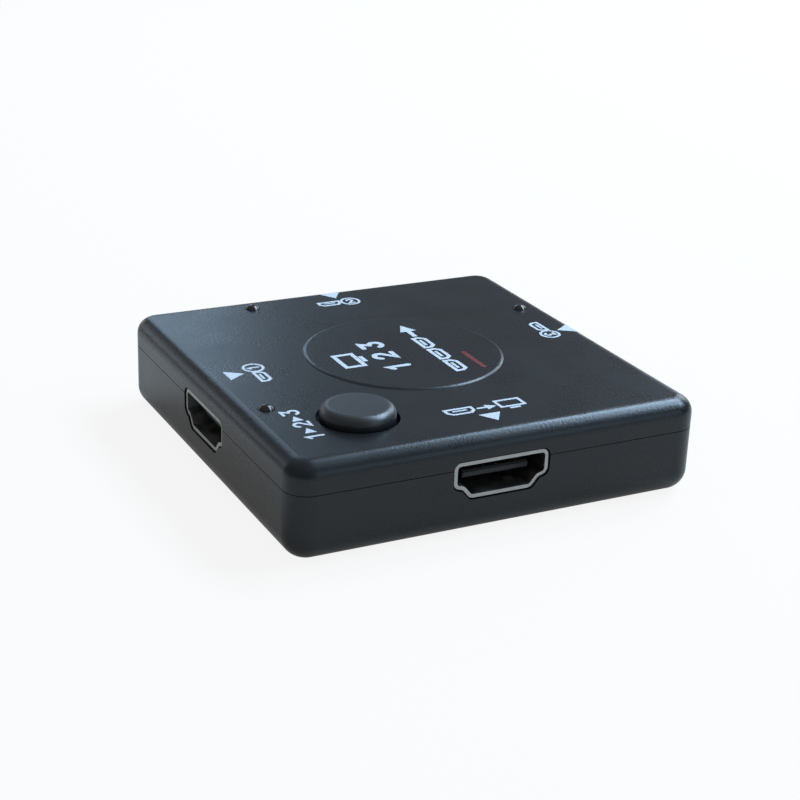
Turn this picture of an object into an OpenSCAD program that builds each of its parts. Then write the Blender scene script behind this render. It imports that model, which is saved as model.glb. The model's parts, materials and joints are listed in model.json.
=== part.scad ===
// Video switch box: a square two-part plastic case with one output socket, three input sockets,
// a select button over a push switch, three lamps and the circuit board that carries them.
// The origin is the middle of the base; the output faces -Y, input 1 faces -X. Millimetres.

/* [Case] */
// Width of the case, from the side of input 1 to the side of input 3
case_w = 65; // [62:0.5:80]
// Depth of the case, from the output side to the side of input 2
case_d = 65; // [62:0.5:80]
// Height of the case to its flat top
case_h = 14.7; // [13.9:0.1:20]
// Radius of the upright corners
corner_r = 3.6; // [3.3:0.1:6]
// Radius along the top edges
top_edge_r = 2.5; // [1:0.1:3]
// Radius along the bottom edges
bottom_edge_r = 3.3; // [1:0.1:3.3]
// Thickness of the side walls
wall_t = 1.6; // [1.3:0.1:2]
// Thickness of the top plate
lid_t = 1.6; // [1.2:0.1:2]
// Thickness of the floor
floor_t = 1.6; // [1.2:0.1:2.2]
// Diameter of the raised disc on the top
disc_d = 30.8; // [20:0.1:34]
// Shift of the disc from the middle of the top, towards input 3
disc_x = 0.3; // [-1:0.1:1]
// Shift of the disc from the middle of the top, towards input 2
disc_y = 0.7; // [-1:0.1:1]
// Height of the raised disc
disc_h = 0.2; // [0.1:0.05:0.5]
// Radius of the soft shoulder round the disc
disc_edge_r = 1; // [0.6:0.1:1.2]

/* [Seam] */
// Height of the seam between the two shells
seam_z = 10.2; // [9.5:0.1:11]
// Shadow gap left open along the seam
seam_gap = 0.1; // [0.1:0.05:0.4]
// Thickness of the locating lip under the top shell
lip_t = 0.7; // [0.5:0.1:0.9]
// Depth of the lip below the seam
lip_h = 1.2; // [0.8:0.1:2]
// Play between the lip and the wall around it
lip_gap = 0.1; // [0.05:0.05:0.2]

/* [Screws] */
// Distance of each screw from the two sides of its corner
screw_inset = 6.5; // [6:0.1:9]
// Diameter of the screw shank
screw_d = 2; // [1.6:0.1:2.6]
// Length of the screw below its head
screw_len = 8; // [6:0.5:9]
// Diameter of the screw head
screw_head_d = 3.8; // [3.2:0.1:4.4]
// Height of the screw head
screw_head_h = 1.3; // [1:0.1:1.6]
// Depth of the screw head inside the base
screw_recess = 0.6; // [0.2:0.1:1]
// Radial play of the screw in the bottom shell and in the board
screw_gap = 0.2; // [0.1:0.05:0.4]
// Radial play of the head in its counterbore
head_gap = 0.3; // [0.2:0.05:0.5]
// Radial play of the thread in its boss
thread_gap = 0.05; // [0.02:0.01:0.1]
// Width and depth of the cross cut in the head
cross_cut = 0.7; // [0.5:0.1:0.8]
// Wall of the posts and bosses around their holes
boss_wall = 1.2; // [1:0.1:1.6]

/* [Circuit board] */
// Thickness of the board
board_t = 1.6; // [1:0.1:2]
// Room under the board for its soldered ends
board_lift = 2.1; // [1.9:0.1:3]
// Play between the board's edge and the walls
board_gap = 0.6; // [0.3:0.1:1]
// Radius of the board's corners
board_corner_r = 1.5; // [1:0.1:3]
// Play around leads that pass through the board
lead_gap = 0.15; // [0.1:0.05:0.3]
// Length of lead that stands out under the board
lead_end = 0.8; // [0.4:0.1:1.5]

/* [Sockets] */
// Width of a socket's opening
port_w = 13.9; // [13.5:0.1:15]
// Height of a socket's opening
port_h = 4.5; // [4.2:0.1:4.8]
// Height of the upright part of a socket's sides
port_side_h = 2.8; // [2.4:0.05:3]
// Width of the ledge at each lower corner of a socket's opening
port_ledge = 1.2; // [0.9:0.05:1.4]
// Fall of that ledge from its outer to its inner end
port_ledge_drop = 0.3; // [0.1:0.05:0.5]
// Width of the flat bottom of a socket's opening
port_bottom_w = 9.2; // [8.6:0.1:10]
// Inside corner radius of a socket
port_corner_r = 0.5; // [0.3:0.05:0.6]
// Radius of the hollow bend at the ledge's inner end
port_bend_r = 1.2; // [1.2:0.05:1.6]
// Thickness of a socket's metal shell
port_shell_t = 0.55; // [0.3:0.05:0.7]
// Length of a socket from its rim to its rear
port_len = 11.4; // [10.5:0.1:12.5]
// Depth of the rim behind the case's side
port_inset = 0.2; // [0:0.05:0.5]
// Play between a socket and its cut-out in the case
port_gap = 0.2; // [0.2:0.05:0.5]
// Room between a socket and the board under it
port_stand = 0.3; // [0.1:0.05:0.5]
// Shift of the output socket from the middle of its side, towards +X
output_shift = -0.8; // [-4:0.1:4]
// Shift of the first input socket from the middle of its side, towards +Y
input_1_shift = 0.3; // [-4:0.1:4]
// Depth of the tongue's end behind the rim
tongue_recess = 1.8; // [1:0.1:2.5]
// Width of the tongue
tongue_w = 10.4; // [9.9:0.1:11]
// Thickness of the tongue
tongue_t = 1.2; // [1:0.05:1.4]
// Chamfer along the tongue's nose
tongue_nose = 0.3; // [0.1:0.05:0.4]
// Width of the bent springs in a socket's upper and lower walls
spring_w = 1.6; // [1:0.1:2]
// Height of a spring's crest above its wall
spring_rise = 0.3; // [0.15:0.05:0.4]
// Length of the block that carries the tongue, at the rear
insulator_len = 2.6; // [2:0.1:3.5]
// Play between the insulator and the metal shell
insulator_gap = 0.05; // [0.02:0.01:0.1]
// Width of a contact strip
contact_w = 0.4; // [0.3:0.05:0.45]
// Thickness of a contact strip
contact_t = 0.2; // [0.15:0.05:0.25]
// Play between a contact strip and its groove
contact_gap = 0.02; // [0.01:0.01:0.04]
// Length of a contact's foot on the board
contact_foot = 1; // [0.6:0.1:1.4]

/* [Select button] */
// Distance of the button's axis from the side of input 1
button_from_left = 15.4; // [14:0.1:19]
// Distance of the button's axis from the output side
button_from_front = 12.7; // [11.5:0.1:14]
// Diameter of the button
button_d = 10.8; // [9:0.1:12]
// Height of the button above the top
button_rise = 1.9; // [1:0.1:3]
// Radius along the button's upper edge
button_edge_r = 1.3; // [0.3:0.1:1.5]
// Radial play of the button in its hole
button_gap = 0.55; // [0.15:0.05:0.7]
// Overlap of the button's retaining flange under the top plate
flange_over = 0.6; // [0.4:0.05:0.9]
// Thickness of the flange
flange_t = 0.9; // [0.6:0.1:1]
// Play between the flange and the top plate
flange_play = 0.1; // [0.05:0.05:0.2]
// Wall of the hollow button
button_wall = 1.2; // [0.9:0.1:1.6]

/* [Push switch] */
// Side of the switch's square body
switch_w = 6; // [5.6:0.1:6.4]
// Height of the switch's plastic base
switch_base_h = 3.4; // [3:0.1:3.6]
// Height from the board to the plunger's top
switch_h = 5; // [4.6:0.1:5.2]
// Depth of the well in the base
switch_well = 1.6; // [1.5:0.1:1.8]
// Diameter of the well in the base
switch_well_d = 5; // [4.8:0.1:5.2]
// Thickness of the metal cover
cover_t = 0.3; // [0.2:0.05:0.4]
// Thickness of the cover's ears and of the terminals
ear_t = 0.2; // [0.15:0.05:0.3]
// Diameter of the plunger
plunger_d = 3.5; // [3:0.1:3.7]
// Radial play of the plunger in the cover
plunger_gap = 0.2; // [0.15:0.05:0.3]
// Diameter of the snap dome
dome_d = 4.4; // [4.1:0.1:4.7]
// Height of the snap dome
dome_h = 0.6; // [0.5:0.05:0.7]
// Thickness of the snap dome
dome_t = 0.1; // [0.08:0.01:0.15]
// Width of a switch terminal
terminal_w = 0.7; // [0.5:0.1:0.9]

/* [Lamps] */
// Distance of each lamp from the side it belongs to
lamp_from_side = 4.7; // [4:0.1:6]
// Distance of lamps 1 and 3 from the middle of their sides
lamp_from_middle = 12.3; // [10.5:0.1:16]
// Distance of lamp 2 from the middle of its side
lamp_2_from_middle = 13.5; // [10.5:0.1:16]
// Diameter of a lamp
lamp_d = 2.3; // [1.8:0.1:2.6]
// Height of a lamp's dome above the top
lamp_rise = 0.65; // [0.2:0.05:0.9]
// Radial play of a lamp in its hole
lamp_gap = 0.1; // [0.05:0.05:0.2]
// Overhang of the collar under the top plate
lamp_collar = 0.4; // [0.3:0.05:0.5]
// Height of the collar
lamp_collar_h = 0.8; // [0.5:0.1:1.2]
// Thickness of a lamp's two square leads
lamp_lead = 0.45; // [0.35:0.05:0.5]
// Distance between a lamp's two leads
lamp_pitch = 1.6; // [1.4:0.1:1.8]

/* [Chips] */
// Side of the switching chip
chip_w = 10; // [8:0.5:11]
// Height of the switching chip above the board
chip_h = 1.5; // [1:0.1:1.8]
// Gap between the chip's body and the board
chip_lift = 0.2; // [0.1:0.05:0.3]
// Distance between two pins of the switching chip
pin_pitch = 0.8; // [0.65:0.05:1]
// Width of a pin
pin_w = 0.35; // [0.25:0.05:0.4]
// Thickness of a pin
pin_t = 0.15; // [0.1:0.05:0.2]
// Reach of a pin beside the chip
pin_reach = 1; // [0.8:0.1:1.2]

/* [Hidden] */
$fn = 64;

CASE_BLACK = "#26292d";
METAL = "#a9abad";
BLACK_PLASTIC = "#141516";
CONTACT_GOLD = "#c9a24a";
LAMP_RED = "#4a1c18";
BOARD_GREEN = "#1f5a36";
CERAMIC = "#b59a72";

// Overlap that lets a cut pass cleanly through a face, and one that joins two solids
cut = 1;
join = 0.2;
// Smallest radius inside the shells
min_r = 0.3;
// Signs of the two sides of a pair
SIDES = [-1, 1];
// Room left above the end of each screw in its boss
bore_room = 0.5;
// Length of the cross cut in a screw head
cross_len = 2.6;
// Steps along a rounded corner of the sockets
arc_steps = 5;

// Heights, from the base up
board_z = floor_t + board_lift;
board_top = board_z + board_t;
ceiling_z = case_h - lid_t;
port_z = board_top + port_stand + port_shell_t + port_h / 2;
screw_seat_z = screw_recess + screw_head_h;
screw_top = screw_seat_z + screw_len;

// Places on the plan
board_margin = wall_t + board_gap;
button_at = [button_from_left - case_w / 2, button_from_front - case_d / 2];
screw_x = case_w / 2 - screw_inset;
screw_y = case_d / 2 - screw_inset;
SCREWS = [[screw_x, screw_y], [-screw_x, screw_y], [-screw_x, -screw_y], [screw_x, -screw_y]];
lamp_x = case_w / 2 - lamp_from_side;
lamp_y = case_d / 2 - lamp_from_side;
LAMPS = [[-lamp_x, -lamp_from_middle], [-lamp_2_from_middle, lamp_y], [lamp_x, lamp_from_middle]];

// Angle of each side about Z, from the output side
left_angle = -90;
back_angle = 180;
right_angle = 90;
// Each socket: angle of its side, distance of that side from the middle, shift along the side
OUTPUT = [0, case_d / 2, output_shift];
INPUT_1 = [left_angle, case_w / 2, -input_1_shift];
INPUT_2 = [back_angle, case_d / 2, 0];
INPUT_3 = [right_angle, case_w / 2, 0];
PORTS = [OUTPUT, INPUT_1, INPUT_2, INPUT_3];

// Socket: places along its depth from the case's side, and its springs
port_rear = port_inset + port_len;
tongue_y = port_inset + tongue_recess;
block_y = port_rear - insulator_len;
leg_w = 1.4;
leg_rear_setback = 2;
leg_front_setback = 4.6;
LEGS_Y = [port_inset + leg_front_setback, port_rear - leg_rear_setback];
spring_x = 2.6;
spring_setback = 1.4;
spring_len = 3.2;

// Contacts: ten above the tongue and nine below it, between them
contact_pitch = 1;
upper_contacts = 10;
contact_setback = 0.5;
contact_tail_gap = 0.5;
contact_y = tongue_y + contact_setback;
contact_tail_y = port_rear + contact_tail_gap;

// Button and switch
button_r = button_d / 2;
button_hole_r = button_r + button_gap;
flange_z = ceiling_z - flange_play - flange_t;
plunger_top = board_top + switch_h;
base_top = board_top + switch_base_h;
dome_z = base_top - switch_well;
plunger_collar = 0.4;
plunger_collar_play = 0.1;
dome_play = 0.05;
nose_d = 1.5;
nose_h = 0.2;
ear_w = 1.8;
ear_drop = 1.4;
terminal_y = 2.25;
terminal_rise = 1;

// Lamps
lamp_collar_r = lamp_d / 2 + lamp_collar;
lamp_foot_z = ceiling_z - lamp_collar_h;

// Chips: the small ones lie around the switching chip, clear of its pins
chip_at = [2, 2];
chip_corner = 0.5;
pins_per_side = floor((chip_w - 2 * chip_corner) / pin_pitch);
chip_half = chip_w / 2 + pin_reach;
chip_room = 3;
memory_size = [5, 4, 1.4];
memory_pins = 4;
memory_pitch = 1.27;
memory_room = 5.5;
memory_at = chip_at + [-chip_half - memory_room, chip_half];
regulator_size = [6.5, 3.5, 1.6];
regulator_pins = 3;
regulator_pitch = 2.3;
regulator_room = 5.5;
regulator_at = chip_at + [chip_half + chip_room, -chip_half - regulator_room];
small_part = [1.6, 0.8, 0.5];
small_pitch = 2.2;
end_cap = 0.3;
resistor_rows = 2;
resistor_columns = 6;
resistor_at = chip_at + [-chip_half - chip_room, -chip_half - chip_room];
capacitor_columns = 6;
capacitor_at = chip_at + [-chip_half, chip_half + chip_room];

function unit(v) = v / norm(v);

// Arc of radius r that rounds the corner b between its neighbours a and c
function corner_arc(a, b, c, r) =
    let (
        u = unit(a - b),
        v = unit(c - b),
        half = acos(u * v) / 2,
        centre = b + unit(u + v) * r / sin(half),
        start = b + u * r / tan(half) - centre,
        end = b + v * r / tan(half) - centre
    )
    [for (i = [0 : arc_steps]) centre + r * unit(start * (arc_steps - i) + end * i)];

// Loop of points with each corner rounded by its own radius
function rounded(points, radii) =
    let (n = len(points))
    [for (i = [0 : n - 1])
        each corner_arc(points[(i + n - 1) % n], points[i], points[(i + 1) % n], radii[i])];

// Loop of points, taken anticlockwise, with every side moved out by g
function outset(points, g) =
    let (n = len(points))
    [for (i = [0 : n - 1])
        let (
            before = unit(points[i] - points[(i + n - 1) % n]),
            after = unit(points[(i + 1) % n] - points[i]),
            out_before = [before[1], -before[0]],
            out_after = [after[1], -after[0]]
        )
        points[i] + g * (out_before + out_after) / (1 + out_before * out_after)];

// Outline of a socket, wide edge up, with every side moved out by g
function port_outline(g) =
    let (
        half_w = port_w / 2,
        half_h = port_h / 2,
        half_bottom = port_bottom_w / 2,
        side_z = half_h - port_side_h,
        ledge_x = half_w - port_ledge,
        ledge_z = side_z - port_ledge_drop,
        corner = port_corner_r + g,
        bend = port_bend_r - g,
        corners = [
            [half_w, half_h], [-half_w, half_h], [-half_w, side_z], [-ledge_x, ledge_z],
            [-half_bottom, -half_h], [half_bottom, -half_h], [ledge_x, ledge_z], [half_w, side_z]
        ]
    )
    rounded(outset(corners, g), [corner, corner, corner, bend, corner, corner, bend, corner]);

// What lies outside a quarter circle of radius r in its square
module corner_waste(r) {
    difference() {
        square(r + cut);
        circle(r);
    }
}

// Section from an axis out to a wall, with the outer top and bottom corners rounded
module edge_section(reach, h, top_r, bottom_r) {
    difference() {
        square([reach, h]);
        if (top_r > 0) translate([reach - top_r, h - top_r]) corner_waste(top_r);
        if (bottom_r > 0) translate([reach - bottom_r, bottom_r]) mirror([0, 1]) corner_waste(bottom_r);
    }
}

// Upright slab along X whose two long sides have the rounded section
module rounded_bar(len, d, h, top_r, bottom_r) {
    translate([-len / 2, 0, 0]) rotate([90, 0, 90]) linear_extrude(len) {
        edge_section(d / 2, h, top_r, bottom_r);
        mirror([1, 0]) edge_section(d / 2, h, top_r, bottom_r);
    }
}

// Box with rounded upright corners and rounded top and bottom edges
module rounded_box(w, d, h, side_r, top_r, bottom_r) {
    rt = min(top_r, side_r);
    rb = min(bottom_r, side_r);
    rounded_bar(w - 2 * side_r, d, h, rt, rb);
    rotate(90) rounded_bar(d - 2 * side_r, w, h, rt, rb);
    for (mx = [0, 1], my = [0, 1])
        mirror([mx, 0, 0]) mirror([0, my, 0]) translate([w / 2 - side_r, d / 2 - side_r, 0])
            rotate_extrude(angle = 90) edge_section(side_r, h, rt, rb);
}

// Flat plate with rounded corners
module plate(w, d, h, r) {
    linear_extrude(h) {
        square([w - 2 * r, d], center = true);
        square([w, d - 2 * r], center = true);
        for (x = [r - w / 2, w / 2 - r], y = [r - d / 2, d / 2 - r])
            translate([x, y]) circle(r);
    }
}

module outside_form() {
    rounded_box(case_w, case_d, case_h, corner_r, top_edge_r, bottom_edge_r);
}

module inside_form() {
    translate([0, 0, floor_t])
        rounded_box(case_w - 2 * wall_t, case_d - 2 * wall_t, ceiling_z - floor_t, corner_r - wall_t,
            max(top_edge_r - lid_t, min_r), max(bottom_edge_r - floor_t, min_r));
}

// Block around the case between two heights
module level(from, to) {
    translate([-case_w / 2 - cut, -case_d / 2 - cut, from])
        cube([case_w + 2 * cut, case_d + 2 * cut, to - from]);
}

// Upright plate that fills the inside of the case and reaches g into its walls
module inside_plate(g, from, to) {
    translate([0, 0, from])
        plate(case_w - 2 * wall_t + 2 * g, case_d - 2 * wall_t + 2 * g, to - from, corner_r - wall_t + g);
}

// Place children at a socket: -Y points out of the case, Z is 0 at the middle of the opening
module at_port(port) {
    rotate(port[0]) translate([port[2], -port[1], port_z]) children();
}

module port_prism(g, from, to) {
    translate([0, to, 0]) rotate([90, 0, 0]) linear_extrude(to - from) polygon(port_outline(g));
}

module port_cutouts() {
    for (port = PORTS) at_port(port) port_prism(port_shell_t + port_gap, -cut, wall_t + cut);
}

module at_points(points, z) {
    for (p = points) translate([p[0], p[1], z]) children();
}

// Low pad whose rounded shoulder meets the flat top at the diameter of the disc
module raised_disc() {
    sunk = disc_edge_r - disc_h;
    reach = disc_d / 2 + disc_edge_r - sqrt(pow(disc_edge_r, 2) - pow(sunk, 2));
    translate([disc_x, disc_y, case_h - sunk])
        rotate_extrude() edge_section(reach, disc_edge_r, disc_edge_r, 0);
}

module top_shell() {
    color(CASE_BLACK) difference() {
        union() {
            difference() {
                intersection() {
                    outside_form();
                    level(seam_z + seam_gap / 2, case_h + cut);
                }
                inside_form();
            }
            difference() {
                inside_plate(lip_t, seam_z - lip_h, seam_z + seam_gap);
                inside_plate(0, seam_z - lip_h - cut, seam_z + seam_gap + cut);
            }
            at_points(SCREWS, board_top)
                cylinder(r = screw_d / 2 + thread_gap + boss_wall, h = ceiling_z - board_top + join);
            raised_disc();
        }
        at_points(SCREWS, board_top - cut)
            cylinder(r = screw_d / 2 + thread_gap, h = screw_top + bore_room - board_top + cut);
        at_points([button_at], ceiling_z - cut) cylinder(r = button_hole_r, h = lid_t + 2 * cut);
        at_points(LAMPS, ceiling_z - cut) cylinder(r = lamp_d / 2 + lamp_gap, h = lid_t + 2 * cut);
        port_cutouts();
    }
}

module bottom_shell() {
    color(CASE_BLACK) difference() {
        union() {
            difference() {
                intersection() {
                    outside_form();
                    level(-cut, seam_z - seam_gap / 2);
                }
                inside_form();
            }
            at_points(SCREWS, floor_t - join)
                cylinder(r = screw_head_d / 2 + head_gap + boss_wall, h = board_lift + join);
        }
        inside_plate(lip_t + lip_gap, seam_z - lip_h, seam_z + cut);
        at_points(SCREWS, -cut) cylinder(r = screw_d / 2 + screw_gap, h = board_z + 2 * cut);
        at_points(SCREWS, -cut) cylinder(r = screw_head_d / 2 + head_gap, h = screw_seat_z + cut);
        port_cutouts();
    }
}

// Hollow cap with a rounded upper edge, a retaining flange and a stem that meets the plunger
module select_button() {
    cap_top = case_h + button_rise;
    cap_h = cap_top - flange_z;
    color(CASE_BLACK) translate([button_at[0], button_at[1], 0]) rotate_extrude() {
        difference() {
            translate([0, flange_z]) {
                edge_section(button_r, cap_h, button_edge_r, 0);
                square([button_hole_r + flange_over, flange_t]);
            }
            translate([0, flange_z - cut]) square([button_r - button_wall, cap_h + cut - button_wall]);
        }
        translate([0, plunger_top]) square([plunger_d / 2, cap_top - button_wall / 2 - plunger_top]);
    }
}

module circuit_board() {
    color(BOARD_GREEN) difference() {
        translate([0, 0, board_z])
            plate(case_w - 2 * board_margin, case_d - 2 * board_margin, board_t, board_corner_r);
        at_points(SCREWS, board_z - cut) cylinder(r = screw_d / 2 + screw_gap, h = board_t + 2 * cut);
        for (port = PORTS) at_port(port) port_legs(lead_gap);
        switch_legs(lead_gap);
        lamp_leads(lead_gap);
    }
}

// Four legs under the sides of a socket, each grown by g for its slot in the board
module port_legs(g) {
    bottom = board_z - lead_end - port_z;
    for (side = SIDES, y = LEGS_Y)
        translate([side * (port_w + port_shell_t) / 2, y, bottom / 2])
            cube([port_shell_t + 2 * g, leg_w + 2 * g, -bottom], center = true);
}

module port_shell() {
    color(METAL) {
        difference() {
            port_prism(port_shell_t, port_inset, port_rear);
            port_prism(0, port_inset - cut, port_rear + cut);
        }
        port_legs(0);
        for (side = SIDES, wall = SIDES) port_spring(side * spring_x, wall);
    }
}

// Spring bent into the opening from the upper wall (1) or the lower wall (-1)
module port_spring(x, wall) {
    front = port_inset + spring_setback;
    wall_z = wall * (port_h / 2 + port_shell_t / 2);
    crest_z = wall * (port_h / 2 - spring_rise);
    bent = [[front, wall_z], [front + spring_len / 2, crest_z], [front + spring_len, wall_z]];
    translate([x - spring_w / 2, 0, 0]) rotate([90, 0, 90]) linear_extrude(spring_w) polygon(bent);
}

// Row of strips on one face of the tongue, each running through the block and down to the board
module contact_row(count, face_z, side, g) {
    foot_z = board_top - port_z;
    inner_z = face_z - side * contact_t;
    low = min(face_z, inner_z) - g;
    high = max(face_z, inner_z) + g;
    strip = [
        [contact_y - g, low], [contact_tail_y - contact_t, low], [contact_tail_y - contact_t, foot_z],
        [contact_tail_y + contact_foot, foot_z], [contact_tail_y + contact_foot, foot_z + contact_t],
        [contact_tail_y, foot_z + contact_t], [contact_tail_y, high], [contact_y - g, high]
    ];
    for (i = [0 : count - 1])
        translate([(i - (count - 1) / 2) * contact_pitch - contact_w / 2 - g, 0, 0])
            rotate([90, 0, 90]) linear_extrude(contact_w + 2 * g) polygon(strip);
}

module contact_rows(g) {
    contact_row(upper_contacts, tongue_t / 2, 1, g);
    contact_row(upper_contacts - 1, -tongue_t / 2, -1, g);
}

module port_insulator() {
    color(BLACK_PLASTIC) difference() {
        union() {
            port_prism(-insulator_gap, block_y, port_rear);
            tongue();
        }
        contact_rows(contact_gap);
    }
}

// Flat tongue in front of the block, with a chamfered nose
module tongue() {
    half_t = tongue_t / 2;
    nose_t = half_t - tongue_nose;
    nose_rear = tongue_y + tongue_nose;
    rear = block_y + join;
    profile = [
        [tongue_y, nose_t], [tongue_y, -nose_t], [nose_rear, -half_t],
        [rear, -half_t], [rear, half_t], [nose_rear, half_t]
    ];
    translate([-tongue_w / 2, 0, 0]) rotate([90, 0, 90]) linear_extrude(tongue_w) polygon(profile);
}

module port_contacts() {
    color(CONTACT_GOLD) contact_rows(0);
}

module output_port_shell() { at_port(OUTPUT) port_shell(); }
module input_1_port_shell() { at_port(INPUT_1) port_shell(); }
module input_2_port_shell() { at_port(INPUT_2) port_shell(); }
module input_3_port_shell() { at_port(INPUT_3) port_shell(); }
module output_port_insulator() { at_port(OUTPUT) port_insulator(); }
module input_1_port_insulator() { at_port(INPUT_1) port_insulator(); }
module input_2_port_insulator() { at_port(INPUT_2) port_insulator(); }
module input_3_port_insulator() { at_port(INPUT_3) port_insulator(); }
module output_port_contacts() { at_port(OUTPUT) port_contacts(); }
module input_1_port_contacts() { at_port(INPUT_1) port_contacts(); }
module input_2_port_contacts() { at_port(INPUT_2) port_contacts(); }
module input_3_port_contacts() { at_port(INPUT_3) port_contacts(); }

// Square base with a well for the dome and the plunger's collar
module switch_base() {
    color(BLACK_PLASTIC) translate([button_at[0], button_at[1], board_top]) difference() {
        translate([-switch_w / 2, -switch_w / 2, 0]) cube([switch_w, switch_w, switch_base_h]);
        translate([0, 0, switch_base_h - switch_well]) cylinder(d = switch_well_d, h = switch_well + cut);
    }
}

// Metal plate over the base, with two ears folded down its sides
module switch_cover() {
    color(METAL) translate([button_at[0], button_at[1], base_top]) {
        difference() {
            translate([-switch_w / 2, -switch_w / 2 - ear_t, 0])
                cube([switch_w, switch_w + 2 * ear_t, cover_t]);
            translate([0, 0, -cut]) cylinder(r = plunger_d / 2 + plunger_gap, h = cover_t + 2 * cut);
        }
        for (side = SIDES)
            translate([-ear_w / 2, side * (switch_w + ear_t) / 2 - ear_t / 2, -ear_drop])
                cube([ear_w, ear_t, ear_drop + cover_t]);
    }
}

// Plunger with a collar under the cover and a nose that meets the dome
module switch_plunger() {
    nose_z = dome_z + dome_h + dome_play;
    collar_z = nose_z + nose_h;
    collar_r = plunger_d / 2 + plunger_collar;
    color(BLACK_PLASTIC) translate([button_at[0], button_at[1], 0]) rotate_extrude() {
        translate([0, nose_z]) square([nose_d / 2, nose_h + join]);
        translate([0, collar_z]) square([plunger_d / 2, plunger_top - collar_z]);
        translate([0, collar_z]) square([collar_r, base_top - plunger_collar_play - collar_z]);
    }
}

// Thin spherical cap in the well, under the plunger
module snap_dome() {
    ball_r = (pow(dome_d / 2, 2) + pow(dome_h, 2)) / (2 * dome_h);
    color(METAL) translate([button_at[0], button_at[1], dome_z]) rotate_extrude() intersection() {
        translate([0, dome_h - ball_r]) difference() {
            circle(ball_r);
            circle(ball_r - dome_t);
        }
        square([dome_d, dome_h + cut]);
    }
}

module switch_legs(g) {
    height = terminal_rise + board_t + lead_end;
    for (sx = SIDES, sy = SIDES)
        translate([button_at[0] + sx * (switch_w + ear_t) / 2, button_at[1] + sy * terminal_y,
            board_top + terminal_rise - height / 2])
            cube([ear_t + 2 * g, terminal_w + 2 * g, height], center = true);
}

module switch_terminals() {
    color(METAL) switch_legs(0);
}

// Lamp: collar under the top plate, straight neck through it and a low dome
module lamp(at) {
    r = lamp_d / 2;
    ball_r = (r * r + lamp_rise * lamp_rise) / (2 * lamp_rise);
    color(LAMP_RED) translate([at[0], at[1], 0]) rotate_extrude() {
        translate([0, lamp_foot_z]) square([lamp_collar_r, lamp_collar_h]);
        translate([0, lamp_foot_z]) square([r, case_h - lamp_foot_z]);
        intersection() {
            translate([0, case_h + lamp_rise - ball_r]) circle(ball_r);
            translate([0, case_h]) square([r, lamp_rise + cut]);
        }
    }
}

module led_1() { lamp(LAMPS[0]); }
module led_2() { lamp(LAMPS[1]); }
module led_3() { lamp(LAMPS[2]); }

module lamp_leads(g) {
    thick = lamp_lead + 2 * g;
    bottom = board_z - lead_end;
    for (p = LAMPS, side = SIDES)
        translate([p[0] + side * lamp_pitch / 2 - thick / 2, p[1] - thick / 2, bottom])
            cube([thick, thick, lamp_foot_z - bottom]);
}

module led_leads() {
    color(METAL) lamp_leads(0);
}

// Row of bent pins along the side of a chip: X runs along the row, -Y away from the chip
module pin_row(count, pitch, width, reach, rise) {
    bent = [
        [0, rise], [-reach / 2, rise], [-reach / 2, pin_t], [-reach, pin_t],
        [-reach, 0], [pin_t - reach / 2, 0], [pin_t - reach / 2, rise - pin_t], [0, rise - pin_t]
    ];
    for (i = [0 : count - 1])
        translate([(i - (count - 1) / 2) * pitch - width / 2, 0, 0])
            rotate([90, 0, 90]) linear_extrude(width) polygon(bent);
}

module on_board(at) {
    translate([at[0], at[1], board_top]) children();
}

module switch_chip() {
    color(BLACK_PLASTIC) on_board(chip_at) translate([-chip_w / 2, -chip_w / 2, chip_lift])
        cube([chip_w, chip_w, chip_h - chip_lift]);
}

module switch_chip_pins() {
    color(METAL) on_board(chip_at) for (turn = [0 : 90 : 270])
        rotate(turn) translate([0, -chip_w / 2, 0])
            pin_row(pins_per_side, pin_pitch, pin_w, pin_reach, chip_h / 2);
}

// Small chip with a row of pins along its front and along its back
module small_chip(size, count, pitch, width) {
    translate([-size[0] / 2, -size[1] / 2, 0]) cube(size);
    for (turn = [0, 180])
        rotate(turn) translate([0, join - size[1] / 2, 0])
            pin_row(count, pitch, width, pin_reach + join, size[2] / 2);
}

module memory_chip() {
    color(BLACK_PLASTIC) on_board(memory_at) rotate(90)
        small_chip(memory_size, memory_pins, memory_pitch, pin_w);
}

module voltage_regulator() {
    color(BLACK_PLASTIC) on_board(regulator_at)
        small_chip(regulator_size, regulator_pins, regulator_pitch, terminal_w);
}

// Ceramic chip with a thicker cap at each end
module chip_part(size) {
    translate([-size[0] / 2, -size[1] / 2, 0]) cube([end_cap, size[1], size[2]]);
    translate([size[0] / 2 - end_cap, -size[1] / 2, 0]) cube([end_cap, size[1], size[2]]);
    translate([-size[0] / 2, -size[1] / 2, 0]) cube([size[0], size[1], size[2] - pin_t]);
}

module chip_resistors() {
    color(BLACK_PLASTIC) for (i = [0 : resistor_columns - 1], j = [0 : resistor_rows - 1])
        on_board(resistor_at + small_pitch * [i, -j]) chip_part(small_part);
}

module chip_capacitors() {
    color(CERAMIC) for (i = [0 : capacitor_columns - 1])
        on_board(capacitor_at + small_pitch * [i, 0]) chip_part(small_part);
}

// Screw from below: flat head with a cross cut, plain shank
module case_screw() {
    difference() {
        union() {
            translate([0, 0, screw_recess]) cylinder(d = screw_head_d, h = screw_head_h);
            translate([0, 0, screw_seat_z - join]) cylinder(d = screw_d, h = screw_len + join);
        }
        for (turn = [0, 90])
            rotate(turn) translate([-cross_len / 2, -cross_cut / 2, screw_recess - cut])
                cube([cross_len, cross_cut, cut + cross_cut]);
    }
}

module case_screws() {
    color(METAL) at_points(SCREWS, 0) case_screw();
}

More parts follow.
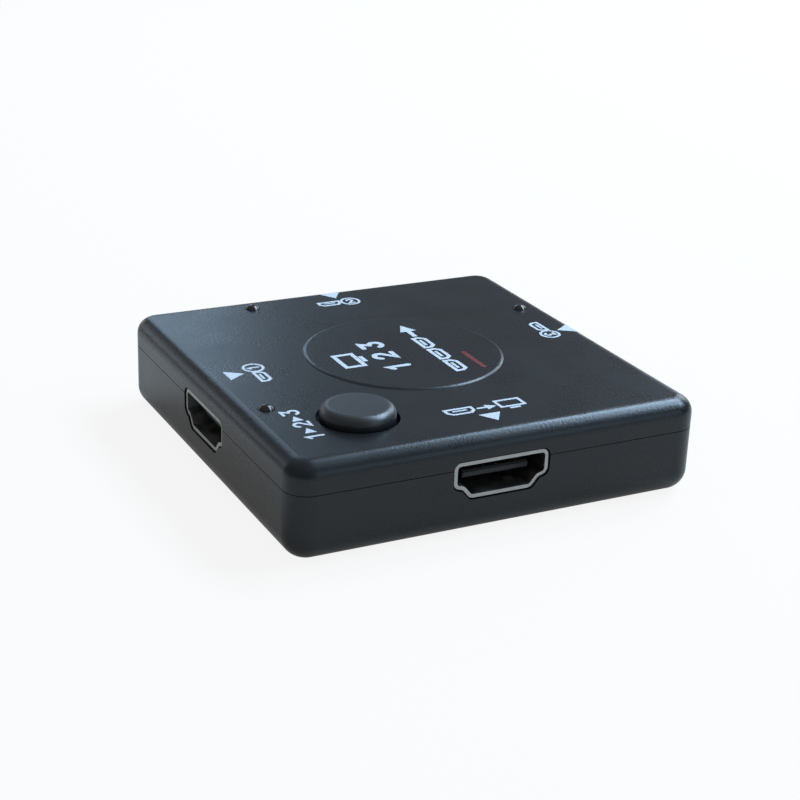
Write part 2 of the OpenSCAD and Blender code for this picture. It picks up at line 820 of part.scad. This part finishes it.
top_shell();
bottom_shell();
select_button();
circuit_board();
output_port_shell();
input_1_port_shell();
input_2_port_shell();
input_3_port_shell();
output_port_insulator();
input_1_port_insulator();
input_2_port_insulator();
input_3_port_insulator();
output_port_contacts();
input_1_port_contacts();
input_2_port_contacts();
input_3_port_contacts();
switch_base();
switch_cover();
switch_plunger();
snap_dome();
switch_terminals();
led_1();
led_2();
led_3();
led_leads();
switch_chip();
switch_chip_pins();
memory_chip();
voltage_regulator();
chip_resistors();
chip_capacitors();
case_screws();
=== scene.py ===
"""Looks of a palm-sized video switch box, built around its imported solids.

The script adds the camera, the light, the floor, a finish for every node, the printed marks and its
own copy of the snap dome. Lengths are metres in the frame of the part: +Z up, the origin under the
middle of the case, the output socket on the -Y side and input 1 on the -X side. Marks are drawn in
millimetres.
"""

import json
import math

import bmesh
import bpy
from mathutils import Matrix, Vector

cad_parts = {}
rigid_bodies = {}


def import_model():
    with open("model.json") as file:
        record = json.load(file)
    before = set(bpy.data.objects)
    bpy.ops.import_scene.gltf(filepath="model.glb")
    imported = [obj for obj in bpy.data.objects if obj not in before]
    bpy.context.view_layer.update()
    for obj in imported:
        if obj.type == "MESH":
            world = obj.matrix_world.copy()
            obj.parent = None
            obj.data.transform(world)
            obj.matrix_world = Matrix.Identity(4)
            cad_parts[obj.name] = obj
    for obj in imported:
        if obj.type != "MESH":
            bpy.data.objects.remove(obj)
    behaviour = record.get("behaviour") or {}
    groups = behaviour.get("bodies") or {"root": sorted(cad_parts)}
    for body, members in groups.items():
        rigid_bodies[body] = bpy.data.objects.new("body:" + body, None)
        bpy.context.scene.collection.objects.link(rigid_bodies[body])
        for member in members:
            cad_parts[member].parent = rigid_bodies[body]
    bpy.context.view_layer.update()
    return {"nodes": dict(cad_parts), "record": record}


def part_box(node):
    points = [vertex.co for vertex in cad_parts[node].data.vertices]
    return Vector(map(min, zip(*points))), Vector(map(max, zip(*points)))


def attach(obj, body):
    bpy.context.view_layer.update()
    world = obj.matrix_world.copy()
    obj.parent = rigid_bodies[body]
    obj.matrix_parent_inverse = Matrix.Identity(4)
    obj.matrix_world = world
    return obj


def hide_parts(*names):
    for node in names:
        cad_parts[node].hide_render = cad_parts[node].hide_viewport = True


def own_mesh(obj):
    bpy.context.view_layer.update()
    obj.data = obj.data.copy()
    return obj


for leftover in list(bpy.data.objects):
    bpy.data.objects.remove(leftover)

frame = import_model()
NODES = frame["nodes"]
PORTS = ["output", "input_1", "input_2", "input_3"]
MM = 0.001
MICRON = 0.000001

# Levels of the case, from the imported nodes
DISC_RISE = 0.2 * MM
DISC_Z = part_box("top_shell")[1].z
TOP_Z = DISC_Z - DISC_RISE
BASE_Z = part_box("bottom_shell")[0].z
CASE_MIDDLE = Vector((0, 0, (BASE_Z + TOP_Z) / 2))


def show(name, data):
    """New object in the scene."""
    item = bpy.data.objects.new(name, data)
    bpy.context.scene.collection.objects.link(item)
    return item


def towards(azimuth, elevation):
    """Unit direction, in degrees from +Y towards +X and degrees up."""
    turn, rise = math.radians(azimuth), math.radians(elevation)
    return Vector((
        math.sin(turn) * math.cos(rise),
        math.cos(turn) * math.cos(rise),
        math.sin(rise),
    ))


# Camera: degrees, azimuth 0 looks along +Y
CAMERA_AZIMUTH = -27.57
CAMERA_ELEVATION = 22.115
CAMERA_ROLL = 2.265
CAMERA_DISTANCE = 268.05 * MM
CAMERA_RIGHT = -0.249 * MM
CAMERA_UP = -0.18 * MM
LENS_MM = 78.1
SENSOR_MM = 36.0
CLIP_NEAR = 10 * MM
CLIP_FAR = 20.0


def camera_axes():
    """Right, up and backward directions of the camera."""
    back = towards(180 - CAMERA_AZIMUTH, CAMERA_ELEVATION)
    azimuth, roll = math.radians(CAMERA_AZIMUTH), math.radians(CAMERA_ROLL)
    level = Vector((math.cos(azimuth), math.sin(azimuth), 0))
    upright = back.cross(level)
    right = math.cos(roll) * level + math.sin(roll) * upright
    up = math.cos(roll) * upright - math.sin(roll) * level
    return right, up, back


def add_camera():
    """Camera that looks at the middle of the case, moved a little along its own axes."""
    right, up, back = camera_axes()
    data = bpy.data.cameras.new("camera")
    data.sensor_width = SENSOR_MM
    data.lens = LENS_MM
    data.clip_start = CLIP_NEAR
    data.clip_end = CLIP_FAR
    camera = show("camera", data)
    turn = Matrix((right, up, back)).transposed().to_4x4()
    eye = CASE_MIDDLE + CAMERA_RIGHT * right + CAMERA_UP * up + CAMERA_DISTANCE * back
    camera.matrix_world = Matrix.Translation(eye) @ turn
    bpy.context.scene.camera = camera


# Shader helpers


def add(tree, kind, sockets=None, **settings):
    """New shader node: settings are its own choices, sockets take values or other nodes' outputs."""
    node = tree.nodes.new(kind)
    for name, value in settings.items():
        setattr(node, name, value)
    for name, value in (sockets or {}).items():
        if isinstance(value, bpy.types.NodeSocket):
            tree.links.new(value, node.inputs[name])
        else:
            node.inputs[name].default_value = value
    return node


def new_material(name, **principled):
    """Material with one Principled shader, whose constant sockets are given by name."""
    material = bpy.data.materials.new(name)
    material.use_nodes = True
    shader = material.node_tree.nodes["Principled BSDF"]
    for socket, value in principled.items():
        shader.inputs[socket.replace("_", " ")].default_value = value
    return material, material.node_tree, shader


def frame_position(tree):
    """Position in the frame of the part, in metres."""
    return add(tree, "ShaderNodeTexCoord").outputs["Object"]


def noise(tree, position, size, detail):
    """Noise from 0 to 1 whose features are about size metres wide, with detail finer octaves."""
    sockets = {"Vector": position, "Scale": 1.0 / size, "Detail": detail}
    return add(tree, "ShaderNodeTexNoise", sockets).outputs["Fac"]


def spread(tree, value, low, high, from_low=0.0, from_high=1.0):
    """Value mapped from one range to another, and kept inside it."""
    sockets = {
        "Value": value,
        "From Min": from_low,
        "From Max": from_high,
        "To Min": low,
        "To Max": high,
    }
    return add(tree, "ShaderNodeMapRange", sockets, clamp=True).outputs["Result"]


def ramp(tree, value, *stops):
    """Colour ramp with stops of (place, colour)."""
    node = add(tree, "ShaderNodeValToRGB", {"Fac": value})
    elements = node.color_ramp.elements
    while len(elements) < len(stops):
        elements.new(1.0)
    for element, (place, colour) in zip(elements, stops):
        element.position = place
        element.color = (*colour, 1.0)
    return node.outputs["Color"]


def shade(colour, factor):
    """Colour made darker or lighter by a factor."""
    return [channel * factor for channel in colour]


def math_node(tree, operation, *values):
    """Result of an arithmetic operation on values or other nodes' outputs."""
    node = add(tree, "ShaderNodeMath", operation=operation)
    for socket, value in zip(node.inputs, values):
        if isinstance(value, bpy.types.NodeSocket):
            tree.links.new(value, socket)
        else:
            socket.default_value = value
    return node.outputs["Value"]


def drawn_along_z(tree, position, scale):
    """Position scaled along Z: a small scale draws a texture out along Z."""
    sockets = {"Vector": position, "Scale": (1, 1, scale)}
    return add(tree, "ShaderNodeMapping", sockets).outputs["Vector"]


def bump(tree, shader, height, depth):
    """Bump of the given depth in metres on the shader."""
    node = add(tree, "ShaderNodeBump", {"Height": height, "Distance": depth})
    tree.links.new(node.outputs["Normal"], shader.inputs["Normal"])


# Finishes: sizes, depths and shares of the textures, then how each kind of surface is made
SMUDGE_SIZE = 9 * MM
GRAIN_DETAIL = 0.6
GRAIN_SHARE = 0.45
PATCH_SIZE = 1.8 * MM
STREAK_DRAW = 0.12
STREAK_SHARE = 0.4
STREAK_DEPTH = 3 * MICRON
CLOUD_SIZE = 0.7 * MM
CLOUD_DEPTH = 0.6 * MICRON
LENS_SCATTER = 0.4 * MM
TRACK_PITCH = 4 * MM
TRACK_LINE = 0.06
TRACK_DEPTH = 30 * MICRON
WEAVE_SIZE = 0.5 * MM
WEAVE_SHARE = 0.25
SPECKLE_SIZE = 0.12 * MM
SPECKLE_DEPTH = 6 * MICRON
THIN_SPOT_SIZE = 0.35 * MM
PRINT_MESH_SIZE = 0.09 * MM
PRINT_MESH_DEPTH = 4 * MICRON


def moulded_plastic(name, colour, rough, grain, grain_depth, specular):
    """Moulded plastic: eroded grain, handling smudges and a polish that comes and goes."""
    material, tree, shader = new_material(name, Specular_IOR_Level=specular)
    position = frame_position(tree)
    smudge = noise(tree, position, SMUDGE_SIZE, 3.0)
    fine = noise(tree, position, grain, GRAIN_DETAIL)
    tint = ramp(tree, smudge, (0.3, shade(colour, 0.86)), (0.7, shade(colour, 1.12)))
    tree.links.new(tint, shader.inputs["Base Color"])
    mottled = math_node(tree, "MULTIPLY_ADD", fine, GRAIN_SHARE, smudge)
    polish = spread(tree, mottled, rough - 0.04, rough + 0.05, 0.35, 1.05)
    tree.links.new(polish, shader.inputs["Roughness"])
    bump(tree, shader, fine, grain_depth)
    return material


def plated_metal(name, colour, rough, streak):
    """Plated sheet metal with fine drawing marks across it and duller patches."""
    material, tree, shader = new_material(name, Metallic=1.0)
    position = frame_position(tree)
    patch = noise(tree, position, PATCH_SIZE, 3.0)
    drawn = noise(tree, drawn_along_z(tree, position, STREAK_DRAW), streak, 2.0)
    tint = ramp(tree, patch, (0.35, shade(colour, 0.82)), (0.65, colour))
    tree.links.new(tint, shader.inputs["Base Color"])
    mixed = math_node(tree, "MULTIPLY_ADD", drawn, STREAK_SHARE, patch)
    polish = spread(tree, mixed, rough - 0.08, rough + 0.14, 0.4, 1.0)
    tree.links.new(polish, shader.inputs["Roughness"])
    bump(tree, shader, drawn, STREAK_DEPTH)
    return material


def lamp_lens(name, dark, light):
    """Tinted diffusing resin of an indicator lamp that is off: glossy, a little cloudy inside."""
    material, tree, shader = new_material(
        name,
        Roughness=0.18,
        Specular_IOR_Level=0.5,
        Subsurface_Weight=0.2,
        Subsurface_Scale=LENS_SCATTER,
    )
    cloud = noise(tree, frame_position(tree), CLOUD_SIZE, 3.0)
    tint = ramp(tree, cloud, (0.3, dark), (0.75, light))
    tree.links.new(tint, shader.inputs["Base Color"])
    bump(tree, shader, cloud, CLOUD_DEPTH)
    return material


def printed_board(name, mask_colour, track_colour):
    """Solder mask over copper tracks: a track grid shows as slightly paler raised lines."""
    material, tree, shader = new_material(name, Roughness=0.35, Specular_IOR_Level=0.5)
    position = frame_position(tree)
    sockets = {"Vector": position, "Scale": 1.0 / TRACK_PITCH, "Mortar Size": TRACK_LINE}
    tracks = add(tree, "ShaderNodeTexBrick", sockets).outputs["Fac"]
    weave = noise(tree, position, WEAVE_SIZE, 2.0)
    mask = math_node(tree, "MULTIPLY_ADD", weave, WEAVE_SHARE, tracks)
    tint = ramp(tree, mask, (0.0, mask_colour), (1.0, track_colour))
    tree.links.new(tint, shader.inputs["Base Color"])
    bump(tree, shader, tracks, TRACK_DEPTH)
    return material


def chip_ceramic(name, colour):
    """Sintered ceramic with a speckled, slightly glossy skin."""
    material, tree, shader = new_material(name, Roughness=0.45)
    speckle = noise(tree, frame_position(tree), SPECKLE_SIZE, 3.0)
    tint = ramp(tree, speckle, (0.3, shade(colour, 0.75)), (0.7, colour))
    tree.links.new(tint, shader.inputs["Base Color"])
    bump(tree, shader, speckle, SPECKLE_DEPTH)
    return material


def print_ink(name, colour):
    """Screen-printed ink: matte, with a faint mesh texture and thin spots."""
    material, tree, shader = new_material(name, Specular_IOR_Level=0.3)
    position = frame_position(tree)
    thin = noise(tree, position, THIN_SPOT_SIZE, 3.0)
    tint = ramp(tree, thin, (0.28, shade(colour, 0.72)), (0.5, colour))
    tree.links.new(tint, shader.inputs["Base Color"])
    tree.links.new(spread(tree, thin, 0.5, 0.7), shader.inputs["Roughness"])
    bump(tree, shader, noise(tree, position, PRINT_MESH_SIZE, 1.0), PRINT_MESH_DEPTH)
    return material


CASE_BLACK = (0.0100, 0.0112, 0.0125)
BUTTON_BLACK = (0.0080, 0.0089, 0.0098)
INSULATOR_BLACK = (0.012, 0.012, 0.012)
CHIP_BLACK = (0.016, 0.016, 0.017)
NICKEL = (0.385, 0.375, 0.355)
GOLD = (0.86, 0.62, 0.24)
TIN = (0.74, 0.74, 0.72)
SPRING_STEEL = (0.56, 0.56, 0.55)
ZINC = (0.48, 0.48, 0.47)
LENS_DARK = (0.008, 0.004, 0.0038)
LENS_LIGHT = (0.020, 0.008, 0.007)
BOARD_GREEN = (0.012, 0.075, 0.03)
TRACK_GREEN = (0.03, 0.16, 0.06)
CERAMIC_TAN = (0.46, 0.33, 0.19)

# Moulded plastic: colour, roughness, size and depth of the grain, specular level
PLASTICS = {
    "case_plastic": (CASE_BLACK, 0.28, 0.36 * MM, 16 * MICRON, 0.34),
    "button_plastic": (BUTTON_BLACK, 0.40, 0.36 * MM, 12 * MICRON, 0.76),
    "black_plastic": (INSULATOR_BLACK, 0.45, 0.08 * MM, 3 * MICRON, 0.4),
    "chip_plastic": (CHIP_BLACK, 0.55, 0.06 * MM, 4 * MICRON, 0.5),
}
# Plated metal: colour, roughness, width of the drawing marks
METALS = {
    "port_metal": (NICKEL, 0.36, 0.12 * MM),
    "contact_gold": (GOLD, 0.24, 0.06 * MM),
    "tinned_metal": (TIN, 0.30, 0.08 * MM),
    "steel": (SPRING_STEEL, 0.26, 0.05 * MM),
    "screw_steel": (ZINC, 0.34, 0.10 * MM),
}
MATERIALS = {
    "lamp_lens": lamp_lens("lamp_lens", LENS_DARK, LENS_LIGHT),
    "board": printed_board("board", BOARD_GREEN, TRACK_GREEN),
    "ceramic": chip_ceramic("ceramic", CERAMIC_TAN),
}
MATERIALS.update({slot: moulded_plastic(slot, *values) for slot, values in PLASTICS.items()})
MATERIALS.update({slot: plated_metal(slot, *values) for slot, values in METALS.items()})
WHITE_INK = print_ink("white_ink", (0.63, 0.67, 0.72))
RED_INK = print_ink("red_ink", (0.17, 0.015, 0.014))


def finish_nodes():
    """Give each node the finish of its slot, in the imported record's own terms."""
    for part in frame["record"]["subparts"]:
        node = NODES[part["node"]]
        node.data.materials.clear()
        node.data.materials.append(MATERIALS[part["material_slot"]])


# Sharp edges are eased by a fine bevel: width in millimetres, node names
EASED = {
    0.10: [f"{port}_port_shell" for port in PORTS],
    0.06: [f"{port}_port_insulator" for port in PORTS]
    + ["case_screws", "switch_cover", "switch_base", "switch_chip"],
}
EASE_ANGLE = 32.0
EASE_SEGMENTS = 2
WELD_DISTANCE = 0.1 * MICRON


def ease_edges():
    """Fine bevel with even shading on the sharp edges of the metal and inner pieces."""
    for width, names in EASED.items():
        for name in names:
            node = NODES[name]
            weld = node.modifiers.new("weld", "WELD")
            weld.merge_threshold = WELD_DISTANCE
            bevel = node.modifiers.new("ease", "BEVEL")
            bevel.width = width * MM
            bevel.segments = EASE_SEGMENTS
            bevel.limit_method = "ANGLE"
            bevel.angle_limit = math.radians(EASE_ANGLE)
            normals = node.modifiers.new("normals", "WEIGHTED_NORMAL")
            normals.keep_sharp = False


def add_flexing_dome():
    """Own copy of the snap dome, shown in place of the rigid solid, which is hidden."""
    dome = show("flexing_dome", NODES["snap_dome"].data.copy())
    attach(dome, "case")
    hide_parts("snap_dome")
    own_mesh(dome)


# Outlines of the printed marks, in millimetres: u along the reading direction, v up


def arc(centre, radius, start, end, steps):
    """Points along an arc, angles in degrees."""
    angles = [math.radians(start + (end - start) * i / steps) for i in range(steps + 1)]
    return [(centre[0] + radius * math.cos(a), centre[1] + radius * math.sin(a)) for a in angles]


def ribbon(points, width, closed=False):
    """Outline strip of even width along a polyline, as quads, mitred at the corners."""
    points = [Vector(p) for p in points]
    count = len(points)
    left, right = [], []
    for i, point in enumerate(points):
        before = points[i - 1] if closed or i > 0 else None
        after = points[(i + 1) % count] if closed or i < count - 1 else None
        incoming = (point - before).normalized() if before is not None else None
        outgoing = (after - point).normalized() if after is not None else None
        along = ((incoming or outgoing) + (outgoing or incoming)).normalized()
        side = Vector((-along.y, along.x))
        lean = (outgoing or incoming).dot(along)
        side *= width / 2 / max(lean, 0.5)
        left.append(point + side)
        right.append(point - side)
    steps = range(count if closed else count - 1)
    return [[left[i], right[i], right[(i + 1) % count], left[(i + 1) % count]] for i in steps]


ROUND_END_STEPS = 8
RING_STEPS = 48


def round_end(point, before, width):
    """Half disc that closes a strip at its end, on the side away from the point before it."""
    outward = math.degrees(math.atan2(point[1] - before[1], point[0] - before[0]))
    return [arc(point, width / 2, outward - 90, outward + 90, ROUND_END_STEPS)]


def stroke_line(points, width):
    """Strip along a polyline with round ends."""
    ends = round_end(points[0], points[1], width) + round_end(points[-1], points[-2], width)
    return ribbon(points, width) + ends


def ring(centre, radius, width):
    """Closed round strip."""
    return ribbon(arc(centre, radius, 0, 360, RING_STEPS)[:-1], width, closed=True)


def moved(shapes, du, dv):
    """Shapes shifted along u and v."""
    return [[(p[0] + du, p[1] + dv) for p in shape] for shape in shapes]


# Numerals as strokes in a cell 1 wide and 1.6 high, from its lower left corner
CELL_W = 1.0
CELL_H = 1.6
NUMERALS = {
    1: [(0.2, 1.3), (0.58, 1.6), (0.58, 0.0)],
    2: arc((0.5, 1.12), 0.45, 165, -35, 14) + [(0.06, 0.05), (1.0, 0.05)],
    3: [(0.08, 1.57), (0.9, 1.57)] + arc((0.46, 0.47), 0.47, 78, -160, 16),
}


def numeral(digit, centre, height, stroke):
    """Numeral of the given height about its centre."""
    scale = height / CELL_H
    points = [
        (centre[0] + (u - CELL_W / 2) * scale, centre[1] + (v - CELL_H / 2) * scale)
        for u, v in NUMERALS[digit]
    ]
    return stroke_line(points, stroke)


def triangle(base, height):
    """Triangle about the origin: a negative height points it down."""
    return [[(-base / 2, -height / 2), (base / 2, -height / 2), (0, height / 2)]]


def pointer(centre, size):
    """Triangle that points along u."""
    return [[(centre[0] + v, centre[1] - u) for u, v in shape] for shape in triangle(size, size)]


def arrow(start, end, stroke, head):
    """Straight arrow along u."""
    shaft = ribbon([start, (end[0] - head, end[1])], stroke)
    return shaft + pointer((end[0] - head / 2, end[1]), head)


# Socket sign: height as a share of its width, places as shares of its half width and height
SOCKET_HEIGHT = 0.42
SOCKET_FOOT = 0.68
SOCKET_SHOULDER = 0.1
TONGUE_REACH = 0.55
TONGUE_LEVEL = 0.08
TONGUE_STROKE = 0.8


def socket_sign(centre, width, stroke):
    """Outline of a socket with its tongue, wide edge up."""
    half = width / 2
    height = SOCKET_HEIGHT * width
    foot = SOCKET_FOOT * half
    shoulder = SOCKET_SHOULDER * height
    outline = [
        (-half, height / 2),
        (-half, -shoulder),
        (-foot, -height / 2),
        (foot, -height / 2),
        (half, -shoulder),
        (half, height / 2),
    ]
    reach = TONGUE_REACH * half
    level = TONGUE_LEVEL * height
    tongue = ribbon([(-reach, level), (reach, level)], stroke * TONGUE_STROKE)
    return moved(ribbon(outline, stroke, closed=True) + tongue, *centre)


# Screen sign: height as a share of its width, foot as shares of its half width and height
SCREEN_HEIGHT = 0.6
SCREEN_FOOT_REACH = 0.45
SCREEN_FOOT_DROP = 0.78


def screen_sign(centre, width, stroke):
    """Outline of a screen on its foot."""
    half = width / 2
    height = SCREEN_HEIGHT * width
    outline = [(-half, height / 2), (-half, -height / 2), (half, -height / 2), (half, height / 2)]
    reach = SCREEN_FOOT_REACH * half
    drop = SCREEN_FOOT_DROP * height
    foot = ribbon([(-reach, -drop), (reach, -drop)], stroke)
    return moved(ribbon(outline, stroke, closed=True) + foot, *centre)


# Printed layers on the top, in millimetres: the ink starts a little under the surface
INK_THICKNESS = 0.03
INK_SUNK = 0.01
INK_MERGE = 0.0001


def print_mark(name, shapes, at, turn, level, ink):
    """Thin printed layer from 2-D shapes, at a place on the top, turned about Z by degrees."""
    mesh = bpy.data.meshes.new(name)
    form = bmesh.new()
    for shape in shapes:
        corners = [form.verts.new((p[0], p[1], -INK_SUNK)) for p in shape]
        form.faces.new(corners)
    bmesh.ops.remove_doubles(form, verts=form.verts, dist=INK_MERGE)
    raised = bmesh.ops.extrude_face_region(form, geom=form.faces[:])
    lifted = [v for v in raised["geom"] if isinstance(v, bmesh.types.BMVert)]
    bmesh.ops.translate(form, verts=lifted, vec=(0, 0, INK_THICKNESS))
    bmesh.ops.recalc_face_normals(form, faces=form.faces)
    place = Matrix.Translation((at[0] * MM, at[1] * MM, level))
    rotation = Matrix.Rotation(math.radians(turn), 4, "Z")
    form.transform(place @ rotation @ Matrix.Scale(MM, 4))
    form.to_mesh(mesh)
    form.free()
    mesh.materials.append(ink)
    mark = show(name, mesh)
    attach(mark, "case")


LABEL_STROKE = 0.48
RING_STROKE = 0.42
RING_RADIUS = 1.5
RING_NUMERAL_HEIGHT = 1.6
INPUT_SOCKET_AT = (-3.7, 0)
INPUT_SOCKET_WIDTH = 3.6
TRIANGLE_BASE = 3.5
TRIANGLE_HEIGHT = 2.7

# Inputs: number, place of the circled number, turn of the label, place of the triangle
INPUT_LABELS = [
    (1, (-23.5, 3.0), 90, (-27.0, 1.3)),
    (2, (3.0, 25.5), 0, (1.4, 29.0)),
    (3, (26.0, -0.3), -90, (29.4, 0.9)),
]


def print_input_labels():
    """For each input a circled number after a socket sign, and a triangle that points inward."""
    for number, circle_at, turn, triangle_at in INPUT_LABELS:
        label = ring((0, 0), RING_RADIUS, RING_STROKE)
        label += numeral(number, (0, 0), RING_NUMERAL_HEIGHT, RING_STROKE)
        label += socket_sign(INPUT_SOCKET_AT, INPUT_SOCKET_WIDTH, LABEL_STROKE)
        print_mark(f"input_{number}_label", label, circle_at, turn, TOP_Z, WHITE_INK)
        inward = triangle(TRIANGLE_BASE, -TRIANGLE_HEIGHT)
        print_mark(f"input_{number}_pointer", inward, triangle_at, turn, TOP_Z, WHITE_INK)


OUTPUT_LABEL_AT = (0.8, -23.3)
OUTPUT_POINTER_AT = (0.7, -26.8)
OUTPUT_SOCKET_AT = (-3.6, 0)
OUTPUT_SOCKET_WIDTH = 4.2
OUTPUT_ARROW_START = (-0.9, 0)
OUTPUT_ARROW_END = (2.3, 0)
OUTPUT_ARROW_HEAD = 1.7
OUTPUT_SCREEN_AT = (4.6, 0.3)
OUTPUT_SCREEN_WIDTH = 3.8


def print_output_label():
    """Sign of a socket that leads to a screen, and a triangle that points outward."""
    label = socket_sign(OUTPUT_SOCKET_AT, OUTPUT_SOCKET_WIDTH, LABEL_STROKE)
    label += arrow(OUTPUT_ARROW_START, OUTPUT_ARROW_END, LABEL_STROKE, OUTPUT_ARROW_HEAD)
    label += screen_sign(OUTPUT_SCREEN_AT, OUTPUT_SCREEN_WIDTH, LABEL_STROKE)
    print_mark("output_label", label, OUTPUT_LABEL_AT, 0, TOP_Z, WHITE_INK)
    outward = triangle(TRIANGLE_BASE, -TRIANGLE_HEIGHT)
    print_mark("output_pointer", outward, OUTPUT_POINTER_AT, 0, TOP_Z, WHITE_INK)


SELECT_LABEL_AT = (-25.4, -19.4)
SELECT_TURN = 90
SELECT_PITCH = 4.4
SELECT_HEIGHT = 2.4
SELECT_POINTER = 1.7


def print_select_label():
    """Numbers in the order of selection, with pointers between them."""
    order = []
    for number in (1, 2, 3):
        order += numeral(number, (SELECT_PITCH * (number - 2), 0), SELECT_HEIGHT, LABEL_STROKE)
    for gap in (-SELECT_PITCH / 2, SELECT_PITCH / 2):
        order += pointer((gap, 0), SELECT_POINTER)
    print_mark("select_label", order, SELECT_LABEL_AT, SELECT_TURN, TOP_Z, WHITE_INK)


# Signs on the disc, in three rows over a red rule: a screen, the numbers, three sockets and an arrow
DISC_TURN = 90
SCREEN_ROW = 9.2
SCREEN_WIDTH = 5.0
SCREEN_STROKE = 0.72
NUMBER_ROW = 3.2
NUMBER_PITCH = 4.8
NUMBER_HEIGHT = 3.4
NUMBER_STROKE = 0.85
SOCKET_ROW = -5.1
SOCKET_PLACES = (-7.4, -2.2, 3.0)
SOCKET_WIDTH = 4.2
SOCKET_STROKE = 0.6
ARROW_START = 5.9
ARROW_END = 11.2
ARROW_STROKE = 0.8
ARROW_HEAD = 2.8
RULE_ROW = -8.8
RULE_START = -9.5
RULE_END = -3.0
RULE_STROKE = 0.8


def print_disc():
    """White signs and a red rule on the raised disc."""
    signs = screen_sign((0, SCREEN_ROW), SCREEN_WIDTH, SCREEN_STROKE)
    for number in (1, 2, 3):
        centre = (NUMBER_PITCH * (number - 2), NUMBER_ROW)
        signs += numeral(number, centre, NUMBER_HEIGHT, NUMBER_STROKE)
    for place in SOCKET_PLACES:
        signs += socket_sign((place, SOCKET_ROW), SOCKET_WIDTH, SOCKET_STROKE)
    signs += arrow((ARROW_START, SOCKET_ROW), (ARROW_END, SOCKET_ROW), ARROW_STROKE, ARROW_HEAD)
    print_mark("disc_signs", signs, (0, 0), DISC_TURN, DISC_Z, WHITE_INK)
    rule = stroke_line([(RULE_START, RULE_ROW), (RULE_END, RULE_ROW)], RULE_STROKE)
    print_mark("disc_rule", rule, (0, 0), DISC_TURN, DISC_Z, RED_INK)


# Light: brightness 1 is white, and heights in the sky are sines of the elevation
SKY_ZENITH = (0.36, 0.38, 0.41)
SKY_HORIZON = (0.19, 0.21, 0.225)
HORIZON_TOP = 0.35
ZENITH_START = 0.85


def add_world():
    """Soft sky: brighter overhead than at the horizon."""
    world = bpy.data.worlds.new("studio")
    bpy.context.scene.world = world
    world.use_nodes = True
    tree = world.node_tree
    direction = add(tree, "ShaderNodeTexCoord").outputs["Generated"]
    height = add(tree, "ShaderNodeSeparateXYZ", {"Vector": direction}).outputs["Z"]
    sky = ramp(tree, height, (HORIZON_TOP, SKY_HORIZON), (ZENITH_START, SKY_ZENITH))
    tree.links.new(sky, tree.nodes["Background"].inputs["Color"])


# Softboxes: degrees from +Y towards +X, degrees up, distance, width, height, brightness, colour
SOFTBOXES = {
    "back_window": (11, 22, 0.9, 0.27, 0.31, 2.3, (0.52, 0.75, 1.0)),
    "back_wall": (-19, 12, 0.9, 0.55, 0.25, 1.2, (0.80, 0.89, 1.0)),
    "side_window": (80, 50, 0.8, 0.65, 0.24, 16.0, (0.54, 0.76, 1.0)),
    "side_low": (58, 21, 0.8, 0.34, 0.34, 3.6, (0.74, 0.87, 1.0)),
    "edge_strip": (112, 40, 0.8, 0.40, 0.16, 6.0, (0.50, 0.74, 1.0)),
    "front_fill": (152, 18, 0.9, 0.42, 0.36, 1.4, (0.54, 0.78, 1.0)),
}


def add_softbox(name, azimuth, elevation, distance, width, height, brightness, colour):
    """Rectangular lamp that faces the middle of the case."""
    data = bpy.data.lights.new(name, "AREA")
    data.shape = "RECTANGLE"
    data.size = width
    data.size_y = height
    data.energy = brightness * math.pi * width * height
    data.color = colour
    lamp = show(name, data)
    direction = towards(azimuth, elevation)
    lamp.location = CASE_MIDDLE + distance * direction
    lamp.rotation_mode = "QUATERNION"
    lamp.rotation_quaternion = (-direction).to_track_quat("-Z", "Y")


# Floor: its warm tint balances the blue of the lamps, and its plain white share is what the camera
# and reflections see whatever the light
FLOOR_SIZE = 8.0
FLOOR_GAP = 0.02 * MM
FLOOR_TINT = (0.78, 0.72, 0.65)
FLOOR_WHITE = 0.88
FLOOR_WHITE_MIRRORED = 0.25


def floor_white(name):
    """Lit floor mixed with plain white, so that the object's shadow stays on a white ground."""
    material = bpy.data.materials.new(name)
    material.use_nodes = True
    tree = material.node_tree
    tree.nodes.clear()
    path = add(tree, "ShaderNodeLightPath").outputs
    mirrored = math_node(tree, "MAXIMUM", path["Is Glossy Ray"], path["Is Transmission Ray"])
    share = math_node(tree, "MULTIPLY", path["Is Camera Ray"], FLOOR_WHITE)
    share = math_node(tree, "MULTIPLY_ADD", mirrored, FLOOR_WHITE_MIRRORED, share)
    lit = add(tree, "ShaderNodeBsdfDiffuse", {"Color": (*FLOOR_TINT, 1.0)}).outputs["BSDF"]
    white = add(tree, "ShaderNodeEmission", {"Strength": 1.0}).outputs["Emission"]
    mix = add(tree, "ShaderNodeMixShader", {"Fac": share})
    tree.links.new(lit, mix.inputs[1])
    tree.links.new(white, mix.inputs[2])
    out = add(tree, "ShaderNodeOutputMaterial")
    tree.links.new(mix.outputs["Shader"], out.inputs["Surface"])
    return material


def add_floor():
    """Square floor just under the base of the case."""
    mesh = bpy.data.meshes.new("floor")
    half = FLOOR_SIZE / 2
    level = BASE_Z - FLOOR_GAP
    corners = [(-half, -half, level), (half, -half, level), (half, half, level), (-half, half, level)]
    mesh.from_pydata(corners, [], [(0, 1, 2, 3)])
    mesh.materials.append(floor_white("floor_white"))
    floor = show("floor", mesh)


bpy.context.scene.view_settings.view_transform = "Standard"
add_camera()
finish_nodes()
ease_edges()
add_flexing_dome()
print_input_labels()
print_output_label()
print_select_label()
print_disc()
add_world()
for softbox, setting in SOFTBOXES.items():
    add_softbox(softbox, *setting)
add_floor()
